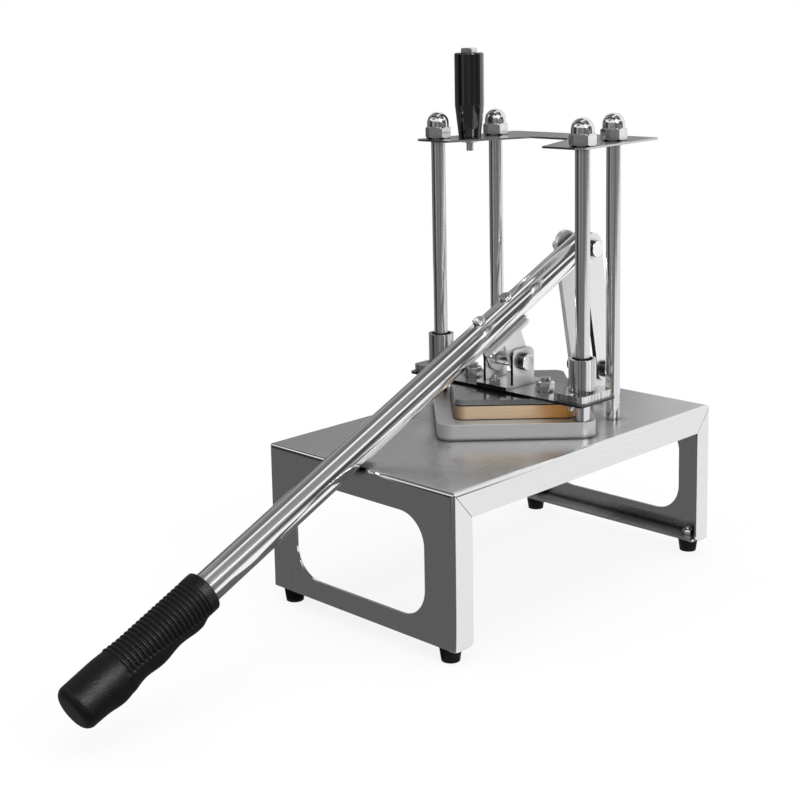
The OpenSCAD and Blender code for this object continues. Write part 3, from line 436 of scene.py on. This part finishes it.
MATERIALS = {
    sheet_steel: ["table_body"],
    plate_steel: ["top_plate"],
    carriage_steel: ["carriage_plate"],
    rod_steel: ["guide_rods_front", "guide_rods_rear", "rod_spacers"],
    tube_steel: ["lever_tube"],
    left_link_steel: ["link_left"],
    right_link_steel: ["link_right"],
    bracket_steel: ["clevis_bracket", "rear_bracket"],
    saddle_steel: ["lever_saddle"],
    sleeve_steel_painted_stripes: ["guide_bushings"],
    bolt_steel: ["pivot_bolt", "link_top_bolt", "link_lower_bolts"],
    bright_steel: ["foot_screws", "foot_nuts", "rod_washers", "rod_nuts", "dome_nuts", "handle_bolt",
                   "handle_nut", "bracket_screws", "bracket_nuts", "rear_pivot_pin",
                   "bushing_screws", "bushing_nuts", "pusher_studs", "pusher_washers", "pusher_nuts",
                   "clevis_studs", "clevis_nuts", "pivot_nut", "lever_end_bush",
                   "saddle_bush", "saddle_bolts", "saddle_nuts", "link_top_nut"],
    blade_steel: ["blades_lengthwise", "blades_crosswise"],
    frame_metal: ["blade_frame"],
    backing_metal: ["pusher_backing"],
    foot_rubber: ["rubber_feet"],
    grip_rubber: ["lever_grip"],
    seal_rubber: ["pusher_seal"],
    handle_plastic: ["side_handle"],
    liner_plastic: ["bushing_liners"],
    pusher_plastic: ["pusher_block"],
}
for material, nodes in MATERIALS.items():
    for node in nodes:
        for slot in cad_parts[node].material_slots:
            slot.material = material


# Grip: ribs on top, finger waves underneath. In millimetres, with places measured from its open end.
GRIP_LENGTH = 120.0
COLLAR_LENGTH = 8.0
COLLAR_RADIUS = 15.5
BODY_RADIUS = 14.6
BODY_SWELL = 1.9
SWELL_RUN = (64, 92)
RIBBED_LENGTH = 72.0
RIBS = 20
RIB_HEIGHT = 1.3
RIB_SINK = 0.4
RIB_SHARPNESS = 0.6
WAVE_PITCH = 34
WAVE_MIDDLE = 1.6
WAVE_HEIGHT = 0.8
FIRST_HOLLOW = 37
WAVES_IN = (8, 18)
WAVES_OUT = (94, 114)
END_ROUND = 6.0
OPEN_END_ROUND = 1.0

# Smooth side between the ribs and the waves: its upper border climbs over BORDER_RUN. The angles are
# in degrees from straight down, and the side stands out from the body by SIDE_RISE.
BORDER_ANGLE = 62
BORDER_CLIMB = 36
BORDER_RUN = (8, 80)
BORDER_BLUR = 3
SIDE_IN = (7, 12)
SIDE_OUT = (78, 84)
SIDE_RISE = 0.75
UNDERSIDE = (78, 36)

# Bore that takes the tube, the lever's pivot on the links as Y and Z, and the reach from it to the tip
BORE_RADIUS = 11.6
PIVOT = (237.54, 265.113)
LEVER_REACH = 577.0

# Fineness of the grip's mesh: points in a ring, and the distance between rings
AROUND = 160
RING_STEP = 0.3


def smooth(a, b, x):
    """0 at a, 1 at b and an even curve between them. A may be the larger one."""
    t = min(max((x - a) / (b - a), 0), 1)
    return t * t * (3 - 2 * t)


def rounded_off(radius, depth):
    """What an edge rounded by the radius takes away, at a depth below the end face."""
    if depth >= radius:
        return 0
    return radius - math.sqrt(max(radius * radius - (radius - depth) ** 2, 0))


def grip_radius(s, turn_angle):
    """Radius at s from the grip's open end, at an angle from straight down."""
    angle = math.degrees(abs(turn_angle))
    border = BORDER_ANGLE + BORDER_CLIMB * smooth(*BORDER_RUN, s)
    smooth_side = smooth(border + BORDER_BLUR, border - BORDER_BLUR, angle) * smooth(*SIDE_IN, s)
    under = smooth(*UNDERSIDE, angle)
    base = BODY_RADIUS + BODY_SWELL * smooth(*SWELL_RUN, s)
    if s < COLLAR_LENGTH:
        base = COLLAR_RADIUS
    rib = 0.0
    if COLLAR_LENGTH <= s <= COLLAR_LENGTH + RIBBED_LENGTH:
        phase = (s - COLLAR_LENGTH) / (RIBBED_LENGTH / RIBS)
        rib = RIB_HEIGHT * (0.5 - 0.5 * math.cos(2 * math.pi * phase)) ** RIB_SHARPNESS - RIB_SINK
        rib *= 1 - smooth_side
    wave = WAVE_MIDDLE - WAVE_HEIGHT * math.cos(2 * math.pi * (s - FIRST_HOLLOW) / WAVE_PITCH)
    wave *= smooth(*WAVES_IN, s) * (1 - smooth(*WAVES_OUT, s))
    r = base + rib + SIDE_RISE * smooth_side * (1 - smooth(*SIDE_OUT, s)) + under * wave
    return r - rounded_off(END_ROUND, GRIP_LENGTH - s) - rounded_off(OPEN_END_ROUND, s)


def grip_mesh():
    """The grip's outside, closed at its tip. At its open end a flat ring meets the tube."""
    direction = Vector((0, -math.cos(LEVER_TILT), -math.sin(LEVER_TILT)))
    down = Vector((0, math.sin(LEVER_TILT), -math.cos(LEVER_TILT)))
    side = Vector((1, 0, 0))
    open_end = Vector((0, PIVOT[0], PIVOT[1])) + direction * (LEVER_REACH - GRIP_LENGTH)
    angles = [2 * math.pi * k / AROUND for k in range(AROUND)]
    bm = bmesh.new()

    def ring(centre, radii):
        points = [centre + r * (math.cos(a) * down + math.sin(a) * side) for a, r in zip(angles, radii)]
        return [bm.verts.new(point / 1000) for point in points]

    rings = []
    for i in range(int(GRIP_LENGTH / RING_STEP) + 1):
        s = i * RING_STEP
        radii = [grip_radius(s, (a + math.pi) % (2 * math.pi) - math.pi) for a in angles]
        rings.append(ring(open_end + direction * s, radii))
    bore = ring(open_end, [BORE_RADIUS] * AROUND)
    for ring_a, ring_b in zip([bore] + rings[:-1], rings):
        for k in range(AROUND):
            j = (k + 1) % AROUND
            bm.faces.new((ring_a[k], ring_a[j], ring_b[j], ring_b[k]))
    tip = bm.verts.new((open_end + direction * GRIP_LENGTH) / 1000)
    for k in range(AROUND):
        bm.faces.new((rings[-1][k], rings[-1][(k + 1) % AROUND], tip))
    bmesh.ops.recalc_face_normals(bm, faces=bm.faces)
    mesh = bpy.data.meshes.new("grip_with_ribs")
    bm.to_mesh(mesh)
    bm.free()
    mesh.polygons.foreach_set("use_smooth", [True] * len(mesh.polygons))
    return mesh


def new_object(name, mesh, material):
    mesh.materials.append(material)
    obj = bpy.data.objects.new(name, mesh)
    bpy.context.collection.objects.link(obj)
    return obj


grip = new_object("grip_with_ribs", grip_mesh(), grip_rubber)
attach(grip, "lever")
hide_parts("lever_grip")


# Studio
def empty_tree(owner):
    """Node tree of a material or world, without its first nodes."""
    owner.use_nodes = True
    owner.node_tree.nodes.clear()
    return owner.node_tree


def white_source(tree, kind, strength):
    """Emission or background node in white."""
    node = tree.nodes.new(kind)
    node.inputs["Color"].default_value = WHITE
    node.inputs["Strength"].default_value = strength
    return node


def any_ray(tree, *kinds):
    """1 for rays of these two or more kinds, 0 for the others."""
    path = tree.nodes.new("ShaderNodeLightPath")
    found, out = path, kinds[0]
    for kind in kinds[1:]:
        either = maths(tree, "MAXIMUM")
        link(tree, found, out, either, 0)
        link(tree, path, kind, either, 1)
        found, out = either, "Value"
    return found


def two_shaders(tree, factor, first, second, output):
    """Mixes two shaders and sends them to a new output node of the given type."""
    mix = tree.nodes.new("ShaderNodeMixShader")
    link(tree, factor, "Value", mix, "Fac")
    link(tree, first, 0, mix, 1)
    link(tree, second, 0, mix, 2)
    link(tree, mix, "Shader", tree.nodes.new(output), "Surface")


def emitting(name, strength):
    m = bpy.data.materials.new(name)
    tree = empty_tree(m)
    light = white_source(tree, "ShaderNodeEmission", strength)
    link(tree, light, "Emission", tree.nodes.new("ShaderNodeOutputMaterial"), "Surface")
    return m


def studio_object(name, verts, faces, material):
    mesh = bpy.data.meshes.new(name)
    mesh.from_pydata(verts, [], faces)
    obj = new_object(name, mesh, material)
    return obj


# Floor: half its side, its grey, and its share of white from the inner to the outer end of a run
FLOOR_HALF = 6.0
FLOOR_GREY = 0.93
WHITE_INSIDE = 0.86
WHITE_OUTSIDE = 1.0
WHITE_RUN = (0.3, 0.7)


def floor_material():
    """White floor that keeps a soft shadow near the object and fades into the backdrop."""
    m = bpy.data.materials.new("pale_floor")
    tree = empty_tree(m)
    matte = tree.nodes.new("ShaderNodeBsdfDiffuse")
    matte.inputs["Color"].default_value = grey(FLOOR_GREY)
    white = white_source(tree, "ShaderNodeEmission", 1)
    where = tree.nodes.new("ShaderNodeTexCoord")
    distance = vector_maths(tree, "LENGTH")
    link(tree, where, "Object", distance, 0)
    fade = range_of(tree, distance, WHITE_INSIDE, WHITE_OUTSIDE, "Value", span=WHITE_RUN)
    share = maths(tree, "MULTIPLY")
    link(tree, any_ray(tree, "Is Camera Ray", "Is Glossy Ray"), "Value", share, 0)
    link(tree, fade, "Result", share, 1)
    two_shaders(tree, share, matte, white, "ShaderNodeOutputMaterial")
    return m


def add_floor():
    corners = [(FLOOR_HALF * x, FLOOR_HALF * y, 0) for x, y in [(-1, -1), (1, -1), (1, 1), (-1, 1)]]
    studio_object("floor", corners, [(0, 1, 2, 3)], floor_material())


def reflection_card(name, verts, faces, strength):
    """A card that only shows in reflections, as a black flag beside a polished product does."""
    card = studio_object(name, verts, faces, emitting(name, strength))
    card.visible_camera = False
    card.visible_diffuse = False
    card.visible_shadow = False
    card.visible_transmission = False
    card.visible_volume_scatter = False


# The dark table that a product stands before, clear of the right side: height over the floor,
# brightness and outline of each part
FLOOR_FLAGS = {
    "far_floor_flag": (0.002, 0.2, [(-1.9, 0.27), (0.085, 0.27), (0.085, -0.04), (1.9, -0.42),
                                    (1.9, -1.9), (-1.9, -1.9)]),
    "near_floor_flag": (0.003, 0.13, [(-0.7, 0.27), (0.085, 0.27), (0.085, -0.04), (0.5, -0.13),
                                      (0.5, -0.37), (-0.7, -0.37)]),
    "side_floor_flag": (0.003, 0.03, [(-0.42, -0.37), (-0.3, -0.52), (-0.9, -1.9), (-1.9, -1.9),
                                      (-1.9, -0.9)]),
}


def floor_flag(name, height, strength, outline):
    verts = [(x, y, height) for x, y in outline]
    reflection_card(name, verts, [tuple(range(len(verts)))], strength)


# Curved flags around the object: two angles, counted from its front, then the brightness
FLAG_CENTRE = (0, 0.1)
FLAG_RADIUS = 1.6
FLAG_STEPS = 24
FRONT_HEIGHTS = (0, 0.9)
BACK_HEIGHTS = (0.36, 0.95)
HANDLE_HEIGHTS = (0.3, 0.95)
FRONT_FLAGS = [(-150, -118, 0.3), (-118, -95, 0.1), (-95, -55, 0.18), (-55, -25, 0.04), (-25, -16, 0.2),
               (-16, -6, 0.5), (-6, 30, 0.19), (30, 52, 0.26), (52, 76, 0.14), (76, 103, 0.2)]
BACK_FLAGS = [(196, 216.5, 0.48), (216.5, 219.5, 0.22), (219.5, 222, 0.45), (222, 226, 0.07),
              (226, 262, 0.2)]


def curved_flag(name, start, stop, heights, strength):
    """A flag that stands on a circle about the object, between two angles and two heights."""
    verts = []
    for i in range(FLAG_STEPS + 1):
        a = math.radians(start + (stop - start) * i / FLAG_STEPS)
        x = FLAG_CENTRE[0] + FLAG_RADIUS * math.sin(a)
        y = FLAG_CENTRE[1] - FLAG_RADIUS * math.cos(a)
        verts += [(x, y, z) for z in heights]
    faces = [(2 * i, 2 * i + 2, 2 * i + 3, 2 * i + 1) for i in range(FLAG_STEPS)]
    reflection_card(name, verts, faces, strength)


# Strips over the lever: two angles, then the lengths along Y that hold each brightness
STRIP_RADIUS = 2.3
OVERHEAD = [
    (-1, 14, [(-0.3, 1.35, 0.33), (1.35, 1.6, 0.22), (1.6, 2.3, 0.09)]),
    (14, 24, [(0.95, 1.3, 0.25), (1.3, 2.3, 0.09)]),
    (24, 35, [(-0.05, 0.85, 0.38), (0.85, 1.2, 0.25), (1.2, 2.0, 0.09)]),
    (46, 85, [(-0.3, 0.45, 0.28), (0.45, 0.7, 0.18), (0.7, 1.3, 0.09)]),
    (97, 118, [(-0.26, 0.4, 0.17), (0.4, 1.3, 0.12)]),
    (118, 134, [(-0.13, 1.3, 0.22)]),
    (134, 150, [(0.05, 1.4, 0.36)]),
    (150, 172, [(0.36, 1.8, 0.48)]),
]

# Five dark strips and a bright one for the grip, then one for the dome nuts: two angles, the lengths
# along Y and the brightness
GRIP_CARDS = [
    (60, 98, -1.1, -0.33, 0.04),
    (98, 116, -1.0, -0.28, 0.04),
    (116, 132, -0.9, -0.15, 0.04),
    (132, 150, -0.6, 0.03, 0.04),
    (150, 172, -0.6, 0.34, 0.04),
    (18, 50, -0.55, -0.14, 17),
    (84, 124, -2.6, -1.1, 0.25),
]


def overhead_strip(name, low, high, front, rear, strength):
    """A strip along Y, between two angles above the right-hand horizon."""
    verts = []
    for angle in (low, high):
        a = math.radians(angle)
        verts += [(STRIP_RADIUS * math.cos(a), y, STRIP_RADIUS * math.sin(a)) for y in (front, rear)]
    reflection_card(name, verts, [(0, 1, 3, 2)], strength)


def area_light(name, place, target, width, height, watts):
    """Rectangular light that looks at the target and doesn't show in reflections."""
    data = bpy.data.lights.new(name, "AREA")
    data.shape = "RECTANGLE"
    data.size = width
    data.size_y = height
    data.energy = watts
    obj = bpy.data.objects.new(name, data)
    obj.location = place
    obj.rotation_euler = (Vector(target) - Vector(place)).to_track_quat("-Z", "Y").to_euler()
    obj.visible_glossy = False
    bpy.context.collection.objects.link(obj)


def white_world():
    """White backdrop that lights the object less than it shows."""
    world = bpy.data.worlds.new("white_world")
    bpy.context.scene.world = world
    tree = empty_tree(world)
    fill = white_source(tree, "ShaderNodeBackground", 0.7)
    backdrop = white_source(tree, "ShaderNodeBackground", 1)
    seen = any_ray(tree, "Is Camera Ray", "Is Glossy Ray", "Is Transmission Ray")
    two_shaders(tree, seen, fill, backdrop, "ShaderNodeOutputWorld")


add_floor()
for name, (height, strength, outline) in FLOOR_FLAGS.items():
    floor_flag(name, height, strength, outline)
for start, stop, strength in FRONT_FLAGS:
    curved_flag("front_flag_%d" % (start + 200), start, stop, FRONT_HEIGHTS, strength)
for start, stop, strength in BACK_FLAGS:
    curved_flag("back_flag_%d" % start, start, stop, BACK_HEIGHTS, strength)
curved_flag("handle_flag", 103, 116, HANDLE_HEIGHTS, 0.06)
for low, high, lengths in OVERHEAD:
    for front, rear, strength in lengths:
        name = "overhead_%d_%d" % (low + 1, round(100 * rear))
        overhead_strip(name, low, high, front, rear, strength)
for low, high, front, rear, strength in GRIP_CARDS:
    overhead_strip("grip_card_%d_%d" % (low, round(-100 * front)), low, high, front, rear, strength)
area_light("top_softbox", (0.2, 0.0, 1.9), (0, 0.1, 0.1), 1.6, 1.6, 14)
area_light("right_strip", (1.6, 0.1, 1.2), (0, 0.1, 0.1), 2.6, 0.1, 10)
area_light("left_strip", (-1.5, -0.5, 0.8), (0, 0.0, 0.2), 0.12, 1.2, 3)
white_world()
